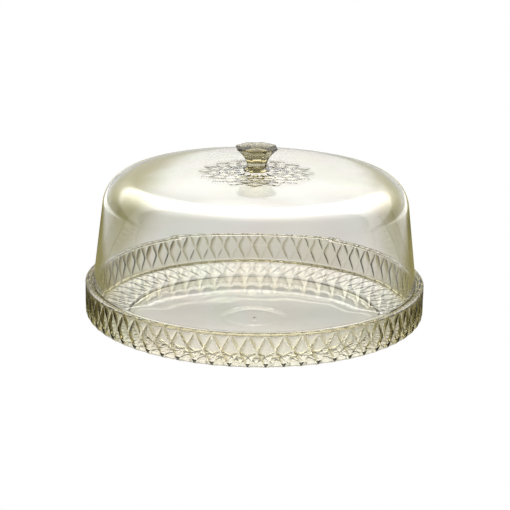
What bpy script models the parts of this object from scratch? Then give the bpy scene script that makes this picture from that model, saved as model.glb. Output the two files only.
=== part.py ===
"""Cake stand with a lift-off dome: a faceted footed tray, a clear dome and its eight-sided knob.

Units are metres, +Z is up, and the origin is the centre of the foot's underside.
"""
import math

import bmesh
import bpy

# ---- driving dimensions -------------------------------------------------------------------
FACETS = 64                  # diamonds round the tray, and straight sides of each turned piece
PITCH = 2 * math.pi / FACETS
GAP = 0.0003                 # clearance between pieces that rest on each other

TRAY_RADIUS = 0.150
RIM_HEIGHT = 0.0415
RIM_EDGE = 0.0006            # chamfer on the rim's outer edge
SEAT_DEPTH = 0.002           # rebate inside the rim that the dome stands in
SEAT_RADIUS = 0.1443
WALL_INSIDE_TOP = 0.1412
WALL_INSIDE_FOOT = 0.1404
WALL_FOOT_HEIGHT = 0.0150
FLOOR_CENTRE = 0.0040        # top of the tray's floor above the table, on the axis
FLOOR_EDGE = 0.0126          # and where the dished floor meets the wall's fillet
FLOOR_RADIUS = 0.1382
FLOOR_THICKNESS = 0.0034
FOOT_RADIUS = 0.1125
FOOT_WIDTH = 0.0045

# Rings of the diamond lattice, (radius, height). Every second ring is turned half a pitch.
CROWN_RING = (0.150, RIM_HEIGHT - 0.0014)
TOUCH_RING = (0.1500, RIM_HEIGHT - 0.0150)
TIP_RING = (0.1470, RIM_HEIGHT - 0.0285)
UNDER_RING = (0.1330, 0.0085)
FOOT_RING = (FOOT_RADIUS + 0.0012, 0.0063)
TURNED_RINGS = (TOUCH_RING, UNDER_RING)

DOME_BASE_RADIUS = 0.1432
DOME_APEX = 0.1387
DOME_DRAFT = math.radians(7.2)
DOME_SHOULDER = 0.0267       # outside radius of the shoulder
DOME_CROWN = 1.700           # outside radius of the shallow crown
DOME_WALL = 0.0028
DOME_BASE = RIM_HEIGHT - SEAT_DEPTH + GAP
HUB_RADIUS = 0.0300          # low cone of the crown under the knob
HUB_RISE = 0.0012
SPIGOT_RADIUS = 0.0040

KNOB_SIDES = 8
KNOB_TURN = math.radians(-59.74)     # angle of one corner from +X
KNOB_TOP = 0.1608
KNOB_RADIUS = 0.0190         # to the corners
KNOB_EDGE = 0.0013
KNOB_BEVEL = 0.0007
KNOB_NECK = 0.0090
KNOB_FLARE = 1.75            # how strongly the flare curves
KNOB_NECK_TOP = 0.1448       # heights where the flare ends and where the foot's flare starts
KNOB_NECK_FOOT = 0.1425
KNOB_FOOT = 0.0120
KNOB_FOOT_EDGE = 0.0008


# ---- helpers --------------------------------------------------------------------------------
def collection(name):
    made = bpy.data.collections.new(name)
    bpy.context.scene.collection.children.link(made)
    return made


def plastic(name, colour, roughness):
    material = bpy.data.materials.new(name)
    material.use_nodes = True
    shader = material.node_tree.nodes["Principled BSDF"]
    shader.inputs["Base Color"].default_value = (*colour, 1.0)
    shader.inputs["Roughness"].default_value = roughness
    shader.inputs["Metallic"].default_value = 0.0
    return material


def turned(name, profile, sides, turn=0.0):
    """Turn a profile of (radius, height) points, listed down the outer side, about +Z."""
    mesh = bpy.data.meshes.new(name)
    cos, sin = math.cos(turn), math.sin(turn)
    points = [(radius * cos, radius * sin, height) for radius, height in profile]
    mesh.from_pydata(points, [(i, i + 1) for i in range(len(points) - 1)], [])
    guide = bpy.data.objects.new(name, mesh)
    bpy.context.scene.collection.objects.link(guide)
    screw = guide.modifiers.new("turn", "SCREW")
    screw.steps = sides
    screw.render_steps = sides
    screw.use_merge_vertices = True
    screw.merge_threshold = 0.00001
    screw.use_smooth_shade = False
    depsgraph = bpy.context.evaluated_depsgraph_get()
    solid = bpy.data.meshes.new_from_object(guide.evaluated_get(depsgraph))
    solid.name = name
    bpy.data.objects.remove(guide)
    return solid


def piece(name, mesh, material, home):
    made = bpy.data.objects.new(name, mesh)
    mesh.materials.clear()
    mesh.materials.append(material)
    home.objects.link(made)
    return made


def parabola(radius, height, edge_radius, edge_height, steps):
    """Points of a dished surface from its centre, at height, out to its edge."""
    rise = edge_height - height
    shares = [i / steps for i in range(steps + 1)]
    return [(radius + (edge_radius - radius) * s, height + rise * s * s) for s in shares]


def arc(centre, radius, start, end, steps):
    """Points of a circular arc of (radius, height), without its first point."""
    angles = [start + (end - start) * i / steps for i in range(1, steps + 1)]
    return [(centre[0] + radius * math.cos(a), centre[1] + radius * math.sin(a)) for a in angles]


# ---- tray -----------------------------------------------------------------------------------
def tray_profile():
    inside = parabola(0.0, FLOOR_CENTRE, FLOOR_RADIUS, FLOOR_EDGE, 4)
    corner = ((FLOOR_RADIUS + 2 * WALL_INSIDE_FOOT) / 3, (2 * FLOOR_EDGE + WALL_FOOT_HEIGHT) / 3)
    inside += [corner, (WALL_INSIDE_FOOT, WALL_FOOT_HEIGHT)]
    seat_height = RIM_HEIGHT - SEAT_DEPTH
    rim = [(WALL_INSIDE_TOP, seat_height), (SEAT_RADIUS, seat_height), (SEAT_RADIUS, RIM_HEIGHT),
           (TRAY_RADIUS - RIM_EDGE, RIM_HEIGHT), (TRAY_RADIUS, RIM_HEIGHT - RIM_EDGE)]
    lattice = [CROWN_RING, TOUCH_RING, TIP_RING, UNDER_RING, FOOT_RING]
    foot = [(FOOT_RADIUS, 0.0), (FOOT_RADIUS - FOOT_WIDTH, 0.0)]
    recess = parabola(0.0, FLOOR_CENTRE - FLOOR_THICKNESS,
                      FOOT_RADIUS - FOOT_WIDTH - 0.0005, 0.0052, 2)
    return inside + rim + lattice + foot + recess[::-1]


def diamond_lattice(mesh):
    """Turn every second ring of the outer wall by half a pitch and cut the skewed quads
    along their short diagonals, so the wall becomes rows of flat diamonds."""
    work = bmesh.new()
    work.from_mesh(mesh)
    half = PITCH / 2
    skewed = set()
    for ring_radius, ring_height in TURNED_RINGS:
        for vertex in work.verts:
            radius = math.hypot(vertex.co.x, vertex.co.y)
            if abs(radius - ring_radius) < 1e-6 and abs(vertex.co.z - ring_height) < 1e-6:
                angle = math.atan2(vertex.co.y, vertex.co.x) + half
                vertex.co.x = radius * math.cos(angle)
                vertex.co.y = radius * math.sin(angle)
                skewed.update(vertex.link_faces)
    bmesh.ops.triangulate(work, faces=list(skewed), quad_method="SHORT_EDGE")
    work.to_mesh(mesh)
    work.free()


def build_tray(home, material):
    mesh = turned("tray", tray_profile(), FACETS)
    diamond_lattice(mesh)
    return piece("tray", mesh, material, home)


# ---- dome -----------------------------------------------------------------------------------
def crown_height(radius, inset=0.0):
    """Height of the crown's surface, inset from the outside by the wall's thickness."""
    ball = DOME_CROWN - inset
    sphere = DOME_APEX - DOME_CROWN + math.sqrt(ball * ball - radius * radius)
    return sphere + HUB_RISE * max(0.0, 1.0 - radius / HUB_RADIUS)


def shoulder_centre():
    """Centre of the arc that touches the drafted wall and the crown, found by bisection."""
    cos, sin = math.cos(DOME_DRAFT), math.sin(DOME_DRAFT)
    reach = DOME_CROWN - DOME_SHOULDER
    low, high = DOME_BASE, DOME_APEX
    for _ in range(60):
        height = (low + high) / 2
        run = (height - DOME_BASE) * sin
        radius = (DOME_BASE_RADIUS * cos - DOME_SHOULDER - run) / cos
        drop = height - (DOME_APEX - DOME_CROWN)
        if math.hypot(radius, drop) > reach:
            high = height
        else:
            low = height
    return radius, height


def dome_surface(inset):
    """Profile of one surface of the dome, from the knob's hole down to the base."""
    centre = shoulder_centre()
    crown_angle = math.atan2(centre[1] - (DOME_APEX - DOME_CROWN), centre[0])
    shoulder = DOME_SHOULDER - inset
    edge = centre[0] + shoulder * math.cos(crown_angle)
    hole = SPIGOT_RADIUS + GAP
    radii = [hole, HUB_RADIUS] + [HUB_RADIUS + (edge - HUB_RADIUS) * i / 3 for i in (1, 2, 3)]
    crown = [(radius, crown_height(radius, inset)) for radius in radii]
    corner = arc(centre, shoulder, crown_angle, DOME_DRAFT, 6)
    side = inset / math.cos(DOME_DRAFT)
    return crown + corner + [(DOME_BASE_RADIUS - side, DOME_BASE)]


def build_dome(home, material):
    outside = dome_surface(0.0)
    inside = dome_surface(DOME_WALL)
    loop = outside + inside[::-1] + outside[:1]
    return piece("dome_cover", turned("dome_cover", loop, FACETS), material, home)


# ---- knob -----------------------------------------------------------------------------------
def knob_profile():
    top = [(0.0, KNOB_TOP), (KNOB_RADIUS - KNOB_BEVEL, KNOB_TOP),
           (KNOB_RADIUS, KNOB_TOP - KNOB_BEVEL), (KNOB_RADIUS, KNOB_TOP - KNOB_EDGE)]
    start = KNOB_TOP - KNOB_EDGE
    flare = []
    for i in range(1, 7):
        share = i / 6
        flare.append((KNOB_NECK + (KNOB_RADIUS - KNOB_NECK) * (1 - share) ** KNOB_FLARE,
                      start - (start - KNOB_NECK_TOP) * share))
    ledge = crown_height(SPIGOT_RADIUS + GAP) + GAP
    foot = [(KNOB_NECK, KNOB_NECK_FOOT), (KNOB_FOOT, ledge + KNOB_FOOT_EDGE), (KNOB_FOOT, ledge)]
    tip = crown_height(SPIGOT_RADIUS, DOME_WALL)
    spigot = [(SPIGOT_RADIUS, ledge), (SPIGOT_RADIUS, tip), (0.0, tip)]
    return top + flare + foot + spigot


def build_knob(home, material):
    mesh = turned("knob", knob_profile(), KNOB_SIDES, KNOB_TURN)
    return piece("knob", mesh, material, home)


# ---- assembly -------------------------------------------------------------------------------
def main():
    for old in list(bpy.data.objects):
        bpy.data.objects.remove(old)
    stand = collection("cake_stand")
    tray = build_tray(stand, plastic("tray_plastic", (0.72, 0.69, 0.60), 0.06))
    dome = build_dome(stand, plastic("dome_plastic", (0.84, 0.83, 0.79), 0.04))
    knob = build_knob(stand, plastic("knob_plastic", (0.55, 0.52, 0.32), 0.05))
    knob.parent = dome
    for made in (tray, dome, knob):
        made.data.shade_smooth()
        made.data.set_sharp_from_angle(angle=math.radians(2.0 if made is tray else 24.0))


main()
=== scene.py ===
"""Looks of the cake stand: a faceted tray, a clear dome and a flared knob, in tinted clear plastic.

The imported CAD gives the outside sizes. The pieces here are finer meshes in the same places.
"""
import math

import bpy
import numpy as np
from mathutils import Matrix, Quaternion, Vector


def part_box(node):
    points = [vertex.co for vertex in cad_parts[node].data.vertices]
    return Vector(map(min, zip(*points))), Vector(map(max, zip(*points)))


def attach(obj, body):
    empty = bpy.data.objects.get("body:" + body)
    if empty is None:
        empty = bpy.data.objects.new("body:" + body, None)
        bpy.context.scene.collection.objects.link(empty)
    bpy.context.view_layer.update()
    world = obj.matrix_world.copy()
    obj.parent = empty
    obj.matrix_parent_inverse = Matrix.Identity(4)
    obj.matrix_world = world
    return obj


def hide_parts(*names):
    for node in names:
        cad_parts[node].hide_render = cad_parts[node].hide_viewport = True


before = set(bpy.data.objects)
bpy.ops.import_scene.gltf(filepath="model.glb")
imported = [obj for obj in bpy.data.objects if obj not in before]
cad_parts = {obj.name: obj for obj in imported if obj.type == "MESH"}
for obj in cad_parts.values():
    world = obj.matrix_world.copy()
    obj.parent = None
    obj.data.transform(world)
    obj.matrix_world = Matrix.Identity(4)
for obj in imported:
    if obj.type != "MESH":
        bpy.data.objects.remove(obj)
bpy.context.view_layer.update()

# ---- sizes in metres, from the frame ------------------------------------------------------
TRAY_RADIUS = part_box("tray")[1].x
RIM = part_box("tray")[1].z
DOME_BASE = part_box("dome_cover")[0].z
DOME_BASE_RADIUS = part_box("dome_cover")[1].x
KNOB_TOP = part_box("knob")[1].z
SPIGOT_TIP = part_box("knob")[0].z

# ---- tray: sizes that the frame doesn't give, as in the CAD, and finer details ------------------
FACETS = 64                  # diamonds round the tray
SEAT_RADIUS = 0.1443         # rebate that the dome stands in
SEAT_HEIGHT = RIM - 0.0020
WALL_INSIDE_TOP = 0.1412
WALL_INSIDE_FOOT = 0.1404
WALL_FOOT_HEIGHT = 0.0150
FILLET = ((0.1394, 0.0131), (0.1401, 0.0138))     # between the floor and the wall
FLOOR_CENTRE = 0.0040
FLOOR_EDGE = 0.0126
FLOOR_RADIUS = 0.1382
RING_RADIUS = 0.0265         # faint ring round the middle of the floor
RING_WIDTH = 0.0028
RING_RISE = 0.00020
GATE_RADIUS = 0.0011         # dimple where the plastic entered the mould
GATE_DEPTH = 0.0005
RIM_DROP = 0.0011            # the rim's top is rounded, and drops this much to its edges
RIM_STEPS = 12
WALL_STRAIGHT = 0.0255       # the outer wall goes straight down this far below the rim,
WALL_TURN = 0.0045           # and then turns inwards on this radius
TOUCH_DROP = 0.0150          # corners of the first full row of diamonds, below the rim
TIP_ANGLE = math.radians(49)      # place of the next corners on the turn
TURN_END = math.radians(77)
UNDER_CORNER = (0.1330, 0.0085)   # radius and height of the corners below those
FOOT_RADIUS = 0.1125
FOOT_WIDTH = 0.0045
FOOT_CORNER = (FOOT_RADIUS + 0.0012, 0.0063)
FOOT_TOP = 0.0052            # height of both edges where the foot ring joins the tray
FOOT_LEAN = 0.0003           # and how far the ring's outside leans out there,
RECESS_LEAN = 0.0005         # and its inside leans in
RECESS_CENTRE = 0.0006       # height of the recess inside the foot, on the axis
RECESS_STEPS = 12
TRAY_RELIEF = (-0.0012, -0.0012, -0.0003, -0.0004, -0.0003)   # by row; they lie below their ridges
TRAY_FLANK = 0.28            # share of a diamond taken by each slope

# ---- dome, likewise -----------------------------------------------------------------------
DOME_APEX = 0.1387
DOME_DRAFT = math.radians(7.2)
DOME_SHOULDER = 0.0267       # outside radius of the shoulder
DOME_CROWN = 1.700           # outside radius of the shallow crown
DOME_WALL = 0.0028
HUB_RADIUS = 0.0300          # low cone of the crown under the knob
HUB_RISE = 0.0012
HOLE_RADIUS = 0.0043         # for the knob's spigot
SHOULDER_STEPS = 28
WALL_STEPS = 6
LIP_STEPS = 10
STAR_POINTS = 16             # lozenges round the knob, in each row
STAR_EDGE = 0.0520           # radius of the last row's outer points
STAR_RINGS = (0.0120, 0.0175, 0.0235, 0.0300, 0.0370, 0.0445, STAR_EDGE)
STAR_RELIEF = (0.0, 0.00045, 0.00045, 0.00045, 0.0004, 0.0003, 0.0)
STAR_FLANK = 0.4

# ---- knob, likewise -----------------------------------------------------------------------
KNOB_SIDES = 8
KNOB_TURN = math.radians(-59.74)     # angle of one corner from +X
KNOB_RADIUS = 0.0190         # to the corners
KNOB_EDGE = 0.0013
KNOB_BEVEL = 0.0007
KNOB_NECK = 0.0090
KNOB_FLARE = 1.75            # how strongly the flare curves
FLARE_STEPS = 24
KNOB_CORNER = math.radians(2.4)      # half the angle taken by a corner's bevel
KNOB_NECK_TOP = 0.1448
KNOB_NECK_FOOT = 0.1425
KNOB_FOOT = 0.0120
KNOB_FOOT_EDGE = 0.0008
KNOB_GAP = 0.0003            # between the knob's foot and the crown
SPIGOT_RADIUS = 0.0040

# ---- plastic ------------------------------------------------------------------------------
LET_THROUGH = (0.78, 0.75, 0.57)     # colour that the plastic's body lets through
TRAY_DENSITY = 75.0          # how strongly it absorbs the rest
DOME_DENSITY = 60.0
KNOB_DENSITY = 80.0
STRAIN_SCALE = 7.0           # of the bands of colour in the tray and the dome
KNOB_STRAIN_SCALE = 30.0
STRAIN_BANDS = ((0.30, (1.0, 1.0, 1.0)), (0.42, (0.98, 1.0, 0.97)), (0.48, (1.0, 1.0, 1.0)),
                (0.54, (1.0, 0.975, 0.97)), (0.60, (1.0, 0.99, 0.96)), (0.68, (1.0, 1.0, 1.0)))
PAINTED_SHADE = (0.42, 0.37, 0.22)          # painted shade: dark olive mixed into the colour where the slopes, edges and bands below are shaded
SLOPE_LEAN = (0.03, 0.40)    # sideways part of the normal, where that painted shade starts and is full
STAR_LEVEL = (0.990, 0.965)  # upward part of the normal, where the painted shade round the knob starts and is full
RIM_LINE = 0.0006            # half the height of the painted dark line at both edges of the rim
KNOB_BANDS_FROM = KNOB_NECK_FOOT - 0.0030
# share of the height from there to the knob's top, and how much painted shade it gets there
KNOB_BANDS = ((0.0, 1.0), (0.14, 1.0), (0.19, 0.0), (0.32, 0.0), (0.40, 1.0), (0.62, 0.8),
              (0.78, 0.2), (0.90, 0.1), (0.92, 1.0), (0.985, 1.0), (0.99, 0.0))

# ---- stage --------------------------------------------------------------------------------
TABLE_SIZE = 16.0
TABLE_DROP = 0.0003          # the table lies this far under the foot
TABLE_LIGHT = 0.77           # brightness of the table, as the plastic sees it
FRONT_SPOT = (0.0, -0.2, 0.0)        # a brighter spot just in front of the object,
FRONT_LIGHT = 1.50                   # its brightness,
FRONT_FADE = (0.10, 0.26)            # and the radii that it fades between
BACK_START = (0.36, 0.50)    # how far behind the axis it starts to be brighter, and is brightest,
BACK_LIGHT = 1.90            # and how many times brighter
MIDDLE_SHADE = 0.74          # how much of the light is left under the object's middle,
MIDDLE_FADE = (0.07, 0.17)   # and the radii that this fades between
FAR_CENTRE = (0.0, 0.9, 0.0)         # the whole table fades out round this point,
FAR_FADE = (1.2, 2.0)                # between these radii,
FAR_LIGHT = 0.35                     # to this share
CARD_START = (0.110, 0.17)   # an olive card lies to either side of the axis, from here
CARD_END = (0.30, 0.45)      # to here
CARD_COLOUR = (0.42, 0.38, 0.17)
SKY_LIGHT = 3.5              # brightness in the plane from back to front,
SIDE_LIGHT = 0.8             # and at the sides
SIDE_FADE = (0.40, 0.90)     # sideways part of the direction, where it starts to fall and ends
BACK_TO_FRONT = ((0, 0.24), (4, 0.22), (7, 0.17), (15, 0.15), (21, 0.26), (27, 1.0), (66, 1.0),
                 (67.5, 0.14), (110, 0.11), (180, 0.09))   # degrees over the top, brightness

CAMERA_AZIMUTH = math.radians(1.755)
CAMERA_ELEVATION = math.radians(17.87)
CAMERA_ROLL = math.radians(0.95)
CAMERA_DISTANCE = 9.593 * TRAY_RADIUS        # from the middle of the rim
CAMERA_AIM = 0.0208          # height above the rim that it points at
CAMERA_LENS = 114.0          # millimetres, on a 36 mm sensor


# ---- mesh tools ---------------------------------------------------------------------------
GRID = (0.0, 0.04, 0.1, 0.19, 0.31, 0.41, 0.5, 0.59, 0.69, 0.81, 0.9, 0.96, 1.0)
STEPS = len(GRID) - 1        # GRID is where a diamond's mesh lines lie, finer near its edges
WELD = 1e7                   # points that round to the same 1/WELD of a metre are one
CALM = 0.12                  # share of a half diamond in which it flattens at a lattice's end


def polar(radius, angle, height):
    return Vector((radius * math.cos(angle), radius * math.sin(angle), height))


def spaced(start, end, steps):
    """Even steps from start to end, with both."""
    return [start + (end - start) * i / steps for i in range(steps + 1)]


def line(start, end, steps):
    """Points of (radius, height) from start to end, without start."""
    return [(start[0] + (end[0] - start[0]) * i / steps,
             start[1] + (end[1] - start[1]) * i / steps) for i in range(1, steps + 1)]


def arc(centre, radius, start, end, steps):
    """Points of an arc in (radius, height), without its first point."""
    return [(centre[0] + radius * math.cos(angle), centre[1] + radius * math.sin(angle))
            for angle in spaced(start, end, steps)[1:]]


def follow(profile):
    """A function from length along (radius, height) points to the point there and the outward
    normal, and the length at each point."""
    lengths = [0.0]
    for start, end in zip(profile, profile[1:]):
        lengths.append(lengths[-1] + math.dist(start, end))

    def curve(length):
        i = 0
        while i < len(profile) - 2 and lengths[i + 1] < length:
            i += 1
        share = (length - lengths[i]) / (lengths[i + 1] - lengths[i])
        start, end = profile[i], profile[i + 1]
        run, fall = end[0] - start[0], end[1] - start[1]
        size = math.hypot(run, fall)
        return start[0] + run * share, start[1] + fall * share, -fall / size, run / size
    return curve, lengths


def slope(share, flank):
    """Rises from 0 at a diamond's edges to 1, within flank of each edge."""
    edge = min(share, 1.0 - share) / flank
    return 1.0 if edge > 1.0 else 1.0 - (1.0 - edge) ** 2


def spread(count):
    """Angles of the mesh's columns, which meet the first and the last ring of a lattice."""
    pitch = 2 * math.pi / count
    return [(place + share) * pitch for place in range(count) for share in GRID[:-1]]


class Skin:
    """One closed mesh under construction: equal points are welded, and some edges are sharp."""

    def __init__(self):
        self.points = []
        self.found = {}
        self.faces = []
        self.sharp = set()

    def vertex(self, point):
        key = tuple(round(value * WELD) for value in point)
        if key not in self.found:
            self.found[key] = len(self.points)
            self.points.append(tuple(point))
        return self.found[key]

    def face(self, corners):
        """Adds a face, without the corners that fall together on the axis."""
        kept = [c for i, c in enumerate(corners) if c != corners[i - 1]]
        if len(kept) > 2:
            self.faces.append(kept)

    def turn(self, profile, angles, sharp=()):
        """Turns (radius, height) points about +Z. The profile runs down the outer side, and the
        rings listed in sharp are creases. Gives the rings' vertices."""
        count = len(angles)
        rings = [[self.vertex(polar(radius, angle, height)) for angle in angles]
                 for radius, height in profile]
        for upper, lower in zip(rings, rings[1:]):
            for j in range(count):
                k = (j + 1) % count
                self.face([upper[j], lower[j], lower[k], upper[k]])
        for ring in (rings[i] for i in sharp):
            self.sharp.update(frozenset((ring[j - 1], ring[j])) for j in range(count))
        return rings

    def lattice(self, curve, rings, count, relief, flank):
        """Rows of diamonds on a turned surface, count of them round it. curve(length) gives
        (radius, height) and the outward normal at a length along the profile, and rings lists
        the lengths of the diamonds' corners. relief says for each ring how far the diamonds
        that are widest there stand out, or lie sunk if below 0, and flank is the share of a
        diamond taken by each slope. Every second ring is turned half a pitch, so an odd number
        of rings ends as it starts. At the first and last ring the diamonds are cut in half
        along a plain circle, which a turned surface can meet."""
        pitch = 2 * math.pi / count
        last = len(rings) - 1
        for ring, depth in enumerate(relief):
            upper, lower = rings[max(ring - 1, 0)], rings[min(ring + 1, last)]
            for place in range(count):
                left = place + (ring % 2) / 2
                grid = {}
                for i, a in enumerate(GRID):
                    for j, b in enumerate(GRID):
                        down = 0.0 if i + j == STEPS else a + b - 1
                        if (ring == 0 and down < 0) or (ring == last and down > 0):
                            continue
                        far = lower if down > 0 else upper
                        rise = depth * slope(a, flank) * slope(b, flank)
                        if ring in (0, last):
                            rise *= min(1.0, abs(down) / CALM)
                        length = rings[ring] + (far - rings[ring]) * abs(down)
                        radius, height, out, up = curve(length)
                        angle = (left + 0.5 + (b - a) / 2) * pitch
                        point = polar(radius + out * rise, angle, height + up * rise)
                        grid[i, j] = self.vertex(point)
                self.cover(grid)

    def cover(self, grid):
        """Faces over a diamond's grid of vertices, or over as much of it as there is, with
        sharp edges along the diamond's four sides."""
        for i in range(STEPS):
            for j in range(STEPS):
                square = [(i, j), (i + 1, j), (i + 1, j + 1), (i, j + 1)]
                inside = [grid[corner] for corner in square if corner in grid]
                if len(inside) > 2:
                    self.face(inside)
        for i in range(STEPS):
            for start, end in (((i, 0), (i + 1, 0)), ((0, i), (0, i + 1)),
                               ((i, STEPS), (i + 1, STEPS)), ((STEPS, i), (STEPS, i + 1))):
                if start in grid and end in grid:
                    self.sharp.add(frozenset((grid[start], grid[end])))

    def build(self, name, material):
        mesh = bpy.data.meshes.new(name)
        mesh.from_pydata(self.points, [], self.faces)
        mesh.validate()
        mesh.shade_smooth()
        pairs = np.empty(len(mesh.edges) * 2, np.int32)
        mesh.edges.foreach_get("vertices", pairs)
        flags = [frozenset(map(int, pair)) in self.sharp for pair in pairs.reshape(-1, 2)]
        layer = mesh.attributes.new("sharp_edge", "BOOLEAN", "EDGE")
        layer.data.foreach_set("value", flags)
        mesh.materials.append(material)
        made = bpy.data.objects.new(name, mesh)
        bpy.context.scene.collection.objects.link(made)
        return made


# ---- node tools: a value is a number, a vector or another node's output ---------------------
def feed(tree, socket, value):
    if isinstance(value, bpy.types.NodeSocket):
        tree.links.new(value, socket)
    else:
        socket.default_value = value


def maths(tree, operation, *values):
    node = tree.nodes.new("ShaderNodeMath")
    node.operation = operation
    for socket, value in zip(node.inputs, values):
        feed(tree, socket, value)
    return node.outputs["Value"]


def vector_maths(tree, operation, *values):
    node = tree.nodes.new("ShaderNodeVectorMath")
    node.operation = operation
    for socket, value in zip(node.inputs, values):
        feed(tree, socket, value)
    return node.outputs["Value" if operation in ("LENGTH", "DOT_PRODUCT") else "Vector"]


def between(tree, value, limits, low=0.0, high=1.0, easing="LINEAR"):
    """Goes from low to high as value goes from the first limit to the second."""
    node = tree.nodes.new("ShaderNodeMapRange")
    node.interpolation_type = easing
    node.inputs["From Min"].default_value = limits[0]
    node.inputs["From Max"].default_value = limits[1]
    node.inputs["To Min"].default_value = low
    node.inputs["To Max"].default_value = high
    feed(tree, node.inputs["Value"], value)
    return node.outputs["Result"]


def component(tree, vector, axis):
    node = tree.nodes.new("ShaderNodeSeparateXYZ")
    feed(tree, node.inputs["Vector"], vector)
    return node.outputs[axis]


def ramp(tree, value, stops):
    """Colours between stops of (position, colour)."""
    node = tree.nodes.new("ShaderNodeValToRGB")
    elements = node.color_ramp.elements
    elements.remove(elements[1])
    for i, (position, colour) in enumerate(stops):
        element = elements.new(position) if i else elements[0]
        element.position = position
        element.color = (*colour, 1.0)
    feed(tree, node.inputs["Fac"], value)
    return node.outputs["Color"]


def greys(stops):
    return [(position, (grey, grey, grey)) for position, grey in stops]


def noise(tree, place, scale, detail, distortion=0.0):
    node = tree.nodes.new("ShaderNodeTexNoise")
    node.inputs["Scale"].default_value = scale
    node.inputs["Detail"].default_value = detail
    node.inputs["Distortion"].default_value = distortion
    feed(tree, node.inputs["Vector"], place)
    return node.outputs["Fac"]


def mixed(tree, share, first, second):
    """A mix of two colours, from the first at share 0 to the second at 1."""
    node = tree.nodes.new("ShaderNodeMix")
    node.data_type = "RGBA"
    feed(tree, node.inputs["Factor"], share)
    feed(tree, node.inputs["A"], first)
    feed(tree, node.inputs["B"], second)
    return node.outputs["Result"]


# ---- materials ----------------------------------------------------------------------------
def slope_shade(tree, place):
    """Painted shade: darkens the slopes of the tray's diamonds that face one way round, and paints
    dark lines at both rim edges.
    """
    across = vector_maths(tree, "CROSS_PRODUCT", (0.0, 0.0, 1.0), place.outputs["Object"])
    round_way = vector_maths(tree, "NORMALIZE", across)
    lean = vector_maths(tree, "DOT_PRODUCT", place.outputs["Normal"], round_way)
    slopes = between(tree, lean, SLOPE_LEAN)
    height = component(tree, place.outputs["Object"], "Z")
    # painted shade: dark lines along both edges of the rim's rounding
    edges = maths(tree, "COMPARE", height, RIM - RIM_DROP, RIM_LINE)
    return maths(tree, "MAXIMUM", slopes, edges)


def star_shade(tree, place):
    """Painted shade: darkens the steep edges of the lozenges round the knob, and nothing beyond
    them.
    """
    steep = between(tree, component(tree, place.outputs["Normal"], "Z"), STAR_LEVEL)
    flat = vector_maths(tree, "MULTIPLY", place.outputs["Object"], (1.0, 1.0, 0.0))
    near = maths(tree, "LESS_THAN", vector_maths(tree, "LENGTH", flat), STAR_EDGE)
    return maths(tree, "MULTIPLY", steep, near)


def height_shade(tree, place):
    """Painted shade: darkens the knob's foot, the lower part of its flare and the edge of its top.
    """
    height = component(tree, place.outputs["Object"], "Z")
    return ramp(tree, between(tree, height, (KNOB_BANDS_FROM, KNOB_TOP)), greys(KNOB_BANDS))


def clear_plastic(name, density, strain_scale, shade):
    """Tinted clear moulded plastic. Its body absorbs light evenly, so thick parts look olive.
    Faint bands of colour stand for the strain in the moulding, shade says where a painted
    dark olive shade is mixed in, the gloss varies a little, and a slight bump stands for the
    waves left where the plastic flowed into the mould."""
    material = bpy.data.materials.new(name)
    material.use_nodes = True
    tree = material.node_tree
    shader = tree.nodes["Principled BSDF"]
    shader.inputs["IOR"].default_value = 1.49
    shader.inputs["Transmission Weight"].default_value = 1.0
    body = tree.nodes.new("ShaderNodeVolumeAbsorption")
    body.inputs["Color"].default_value = (*LET_THROUGH, 1.0)
    body.inputs["Density"].default_value = density
    feed(tree, tree.nodes["Material Output"].inputs["Volume"], body.outputs["Volume"])

    place = tree.nodes.new("ShaderNodeTexCoord")
    strain = noise(tree, place.outputs["Object"], strain_scale, detail=1.0, distortion=0.8)
    bands = ramp(tree, strain, STRAIN_BANDS)
    # painted shade: the dark olive is mixed in where shade() marks slopes, edges or bands
    colour = mixed(tree, shade(tree, place), bands, (*PAINTED_SHADE, 1.0))
    feed(tree, shader.inputs["Base Color"], colour)

    haze = noise(tree, place.outputs["Object"], 45.0, detail=3.0)
    feed(tree, shader.inputs["Roughness"], between(tree, haze, (0.45, 0.75), high=0.05))

    waves = tree.nodes.new("ShaderNodeBump")
    waves.inputs["Strength"].default_value = 0.2
    waves.inputs["Distance"].default_value = 0.0012
    feed(tree, waves.inputs["Height"], noise(tree, place.outputs["Object"], 16.0, detail=1.0))
    feed(tree, shader.inputs["Normal"], waves.outputs["Normal"])
    return material


# ---- tray ---------------------------------------------------------------------------------
def floor_height(radius):
    """The dished floor, with the faint ring and gate mark of its moulding."""
    dish = FLOOR_CENTRE + (FLOOR_EDGE - FLOOR_CENTRE) * (radius / FLOOR_RADIUS) ** 2
    ring = RING_RISE * math.exp(-((radius - RING_RADIUS) / RING_WIDTH) ** 2)
    gate = GATE_DEPTH * math.exp(-(radius / GATE_RADIUS) ** 2)
    return dish + ring - gate


def floor_profile():
    """From the axis outwards, with close points over the gate mark and the ring."""
    radii = spaced(0.0, 0.0032, steps=4) + [0.0080, 0.0140] + spaced(0.0190, 0.0340, steps=10)
    radii += spaced(0.0400, FLOOR_RADIUS, steps=10)
    return [(radius, floor_height(radius)) for radius in radii]


def rim_profile():
    """The rounded top of the rim, from the rebate outwards."""
    middle, half = (TRAY_RADIUS + SEAT_RADIUS) / 2, (TRAY_RADIUS - SEAT_RADIUS) / 2
    angles = spaced(math.pi, 0.0, RIM_STEPS)
    return [(middle + half * math.cos(angle), RIM - RIM_DROP * (1 - math.sin(angle)))
            for angle in angles]


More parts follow.
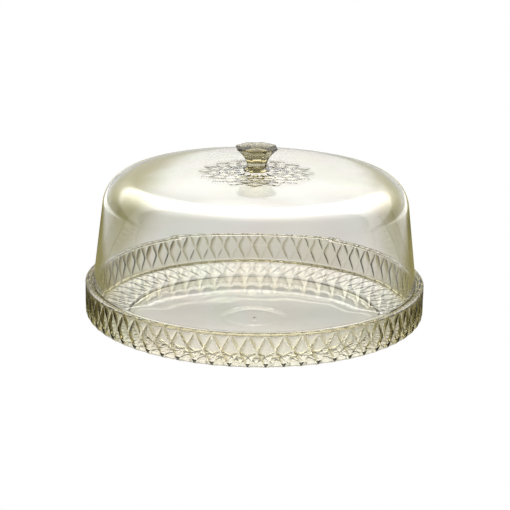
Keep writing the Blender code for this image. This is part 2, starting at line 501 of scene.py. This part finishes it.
def tray_outside():
    """The outer wall from the rim's edge down to the foot, and which of its points are corners
    of diamonds."""
    turn_centre = (TRAY_RADIUS - WALL_TURN, RIM - WALL_STRAIGHT)
    wall = [(TRAY_RADIUS, RIM - RIM_DROP), (TRAY_RADIUS, RIM - TOUCH_DROP),
            (TRAY_RADIUS, RIM - WALL_STRAIGHT)]
    wall += arc(turn_centre, WALL_TURN, 0.0, -TIP_ANGLE, steps=8)
    tips = len(wall) - 1
    wall += arc(turn_centre, WALL_TURN, -TIP_ANGLE, -TURN_END, steps=4)
    wall += line(wall[-1], UNDER_CORNER, steps=3)
    under = len(wall) - 1
    wall += line(wall[-1], FOOT_CORNER, steps=3)
    return wall, (0, 1, tips, under, len(wall) - 1)


def underside(edge):
    """The foot ring and the recess inside it, from the diamonds' lower edge to the axis."""
    inner = FOOT_RADIUS - FOOT_WIDTH
    foot = [edge, (FOOT_RADIUS + FOOT_LEAN, FOOT_TOP), (FOOT_RADIUS, 0.0), (inner, 0.0)]
    shares = spaced(1.0, 0.0, RECESS_STEPS)
    recess = [((inner - RECESS_LEAN) * share,
               RECESS_CENTRE + (FOOT_TOP - RECESS_CENTRE) * share ** 2) for share in shares]
    return foot + recess


def make_tray(material):
    inside = floor_profile() + [*FILLET, (WALL_INSIDE_FOOT, WALL_FOOT_HEIGHT)]
    inside += line(inside[-1], (WALL_INSIDE_TOP, SEAT_HEIGHT), steps=4)
    seat = len(inside) - 1
    inside += [(SEAT_RADIUS, SEAT_HEIGHT)] + rim_profile()
    outside, corners = tray_outside()
    curve, lengths = follow(outside)
    angles = spread(FACETS)
    skin = Skin()
    skin.turn(inside, angles, sharp=(seat, seat + 1, len(inside) - 1))
    skin.lattice(curve, [lengths[i] for i in corners], FACETS, TRAY_RELIEF, TRAY_FLANK)
    skin.turn(underside(outside[-1]), angles, sharp=(0, 2, 3, 4))
    tray = skin.build("tray_moulding", material)
    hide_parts("tray")
    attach(tray, "tray_base")


# ---- dome ---------------------------------------------------------------------------------
def crown_height(radius, inset=0.0):
    """Height of the crown's surface, inset from the outside by the wall's thickness."""
    ball = DOME_CROWN - inset
    sphere = DOME_APEX - DOME_CROWN + math.sqrt(ball * ball - radius * radius)
    return sphere + HUB_RISE * max(0.0, 1.0 - radius / HUB_RADIUS)


def shoulder_centre():
    """Centre of the arc that touches the drafted wall and the crown, found by bisection."""
    cos, sin = math.cos(DOME_DRAFT), math.sin(DOME_DRAFT)
    reach = DOME_CROWN - DOME_SHOULDER
    low, high = DOME_BASE, DOME_APEX
    for _ in range(60):
        height = (low + high) / 2
        radius = (DOME_BASE_RADIUS * cos - DOME_SHOULDER - (height - DOME_BASE) * sin) / cos
        if math.hypot(radius, height - (DOME_APEX - DOME_CROWN)) > reach:
            high = height
        else:
            low = height
    return radius, height


def dome_surface(inset, start, steps):
    """Profile of one surface of the dome from a radius on the crown down to the base."""
    centre = shoulder_centre()
    crown_angle = math.atan2(centre[1] - (DOME_APEX - DOME_CROWN), centre[0])
    shoulder = DOME_SHOULDER - inset
    edge = centre[0] + shoulder * math.cos(crown_angle)
    crown = [(radius, crown_height(radius, inset)) for radius in spaced(start, edge, steps)]
    corner = arc(centre, shoulder, crown_angle, DOME_DRAFT, SHOULDER_STEPS)
    side = inset / math.cos(DOME_DRAFT)
    return crown + corner + line(corner[-1], (DOME_BASE_RADIUS - side, DOME_BASE), WALL_STEPS)


def base_lip(outer, inner):
    """The half-round edge at the dome's base, from its outside to its inside."""
    half = (outer - inner) / 2
    middle = (outer - half, DOME_BASE + half)
    start = (outer - half * math.tan(DOME_DRAFT), middle[1])
    return [start] + arc(middle, half, 0.0, -math.pi, LIP_STEPS)


def make_dome(material):
    def crown(length):
        return length, crown_height(length), 0.0, 1.0

    angles = spread(STAR_POINTS)
    outside = dome_surface(0.0, STAR_EDGE, steps=16)
    inside = dome_surface(DOME_WALL, HOLE_RADIUS, steps=24)
    hole = (HOLE_RADIUS, crown_height(HOLE_RADIUS))
    loop = outside[:-1] + base_lip(outside[-1][0], inside[-1][0]) + inside[-2::-1] + [hole]
    skin = Skin()
    skin.turn([hole, (STAR_RINGS[0], crown_height(STAR_RINGS[0]))], angles)
    skin.lattice(crown, STAR_RINGS, STAR_POINTS, STAR_RELIEF, STAR_FLANK)
    skin.turn(loop, angles, sharp=(len(loop) - 2, len(loop) - 1))
    dome = skin.build("dome_moulding", material)
    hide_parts("dome_cover")
    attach(dome, "dome")


# ---- knob ---------------------------------------------------------------------------------
def knob_profile():
    """From the middle of the top down to the spigot's tip, and which of its points are creases."""
    start = KNOB_TOP - KNOB_EDGE
    top = [(0.0, KNOB_TOP), (KNOB_RADIUS - KNOB_BEVEL, KNOB_TOP),
           (KNOB_RADIUS, KNOB_TOP - KNOB_BEVEL), (KNOB_RADIUS, start)]
    flare = [(KNOB_NECK + (KNOB_RADIUS - KNOB_NECK) * (1 - share) ** KNOB_FLARE,
              start - (start - KNOB_NECK_TOP) * share) for share in spaced(0.0, 1.0, FLARE_STEPS)]
    ledge = crown_height(HOLE_RADIUS) + KNOB_GAP
    foot = [(KNOB_NECK, KNOB_NECK_FOOT), (KNOB_FOOT, ledge + KNOB_FOOT_EDGE), (KNOB_FOOT, ledge)]
    spigot = [(SPIGOT_RADIUS, ledge), (SPIGOT_RADIUS, SPIGOT_TIP), (0.0, SPIGOT_TIP)]
    profile = top + flare[1:] + foot + spigot
    below = len(top) + FLARE_STEPS
    return profile, [*range(1, len(top)), *range(below, len(profile) - 1)]


def make_knob(material):
    """An eight-sided turned solid with narrow bevels down its long edges."""
    profile, creases = knob_profile()
    corners = [KNOB_TURN + 2 * math.pi * j / KNOB_SIDES for j in range(KNOB_SIDES)]
    columns = [corner + side * KNOB_CORNER for corner in corners for side in (-1, 1)]
    skin = Skin()
    rings = skin.turn(profile, columns, sharp=creases)
    for upper, lower in zip(rings, rings[1:]):
        skin.sharp.update(frozenset(pair) for pair in zip(upper, lower))
    knob = skin.build("knob_moulding", material)
    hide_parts("knob")
    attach(knob, "dome")


# ---- stage --------------------------------------------------------------------------------
def table_light(tree, place):
    """Brightness of the table, as the plastic sees it: a spot in front of the object, dimmer
    under its middle, brighter behind it, and fading out far away."""
    def around(centre):
        return vector_maths(tree, "LENGTH", vector_maths(tree, "SUBTRACT", place, centre))

    spot = between(tree, around(FRONT_SPOT), FRONT_FADE, FRONT_LIGHT, TABLE_LIGHT, "SMOOTHSTEP")
    back = between(tree, component(tree, place, "Y"), BACK_START, 1.0, BACK_LIGHT, "SMOOTHSTEP")
    far = between(tree, around(FAR_CENTRE), FAR_FADE, 1.0, FAR_LIGHT, "SMOOTHSTEP")
    middle = between(tree, vector_maths(tree, "LENGTH", place), MIDDLE_FADE, MIDDLE_SHADE, 1.0,
                     "SMOOTHSTEP")
    lit = maths(tree, "MULTIPLY", spot, back)
    for share in (far, middle):
        lit = maths(tree, "MULTIPLY", lit, share)
    return lit


def table_colour(tree, place):
    """White, with an olive card at either side of the object."""
    side = maths(tree, "ABSOLUTE", component(tree, place, "X"))
    start = between(tree, side, CARD_START, easing="SMOOTHSTEP")
    end = between(tree, side, CARD_END, 1.0, 0.0, "SMOOTHSTEP")
    card = maths(tree, "MULTIPLY", start, end)
    return mixed(tree, card, (1.0, 1.0, 1.0, 1.0), (*CARD_COLOUR, 1.0))


def make_floor():
    """A table that the camera sees as plain white, and that the plastic sees as a light."""
    bpy.ops.mesh.primitive_plane_add(size=TABLE_SIZE, location=(0, 0, -TABLE_DROP))
    floor = bpy.context.object
    floor.name = "floor"
    material = bpy.data.materials.new("floor")
    material.use_nodes = True
    tree = material.node_tree
    tree.nodes.clear()
    place = tree.nodes.new("ShaderNodeTexCoord").outputs["Object"]
    lit = tree.nodes.new("ShaderNodeEmission")
    feed(tree, lit.inputs["Color"], table_colour(tree, place))
    feed(tree, lit.inputs["Strength"], table_light(tree, place))
    white = tree.nodes.new("ShaderNodeEmission")
    seen = tree.nodes.new("ShaderNodeLightPath")
    mix = tree.nodes.new("ShaderNodeMixShader")
    feed(tree, mix.inputs["Fac"], seen.outputs["Is Camera Ray"])
    feed(tree, mix.inputs[1], lit.outputs["Emission"])
    feed(tree, mix.inputs[2], white.outputs["Emission"])
    out = tree.nodes.new("ShaderNodeOutputMaterial")
    feed(tree, out.inputs["Surface"], mix.outputs["Shader"])
    floor.data.materials.append(material)


def make_world():
    """Studio surroundings for the gloss: a grey backdrop that darkens as it rises, a broad
    softbox high at the back, and a dim room overhead and in front. All fall off sideways."""
    world = bpy.data.worlds.new("studio")
    bpy.context.scene.world = world
    world.use_nodes = True
    tree = world.node_tree
    direction = tree.nodes.new("ShaderNodeTexCoord").outputs["Generated"]
    over = maths(tree, "ARCTAN2", component(tree, direction, "Z"), component(tree, direction, "Y"))
    stops = greys([(degrees / 180, grey) for degrees, grey in BACK_TO_FRONT])
    sky = ramp(tree, between(tree, over, (0.0, math.pi)), stops)
    side = maths(tree, "ABSOLUTE", component(tree, direction, "X"))
    strength = between(tree, side, SIDE_FADE, SKY_LIGHT, SIDE_LIGHT, "SMOOTHSTEP")
    feed(tree, tree.nodes["Background"].inputs["Color"], sky)
    feed(tree, tree.nodes["Background"].inputs["Strength"], strength)


def make_camera():
    """The long lens of a product shot, a little above the object and rolled by about a degree."""
    away = Vector((math.sin(CAMERA_AZIMUTH) * math.cos(CAMERA_ELEVATION),
                   -math.cos(CAMERA_AZIMUTH) * math.cos(CAMERA_ELEVATION),
                   math.sin(CAMERA_ELEVATION)))
    data = bpy.data.cameras.new("camera")
    data.sensor_width = 36.0
    data.lens = CAMERA_LENS
    data.clip_start, data.clip_end = 0.05, 60.0
    camera = bpy.data.objects.new("camera", data)
    camera.location = Vector((0, 0, RIM)) + away * CAMERA_DISTANCE
    look = Vector((0, 0, RIM + CAMERA_AIM)) - camera.location
    camera.rotation_mode = "QUATERNION"
    roll = Quaternion((0, 0, 1), CAMERA_ROLL)
    camera.rotation_quaternion = look.to_track_quat("-Z", "Y") @ roll
    bpy.context.scene.collection.objects.link(camera)
    bpy.context.scene.camera = camera


make_camera()
make_floor()
make_world()
make_tray(clear_plastic("tray_plastic", TRAY_DENSITY, STRAIN_SCALE, slope_shade))
make_dome(clear_plastic("dome_plastic", DOME_DENSITY, STRAIN_SCALE, star_shade))
make_knob(clear_plastic("knob_plastic", KNOB_DENSITY, KNOB_STRAIN_SCALE, height_shade))
bpy.context.scene.view_settings.view_transform = "Standard"
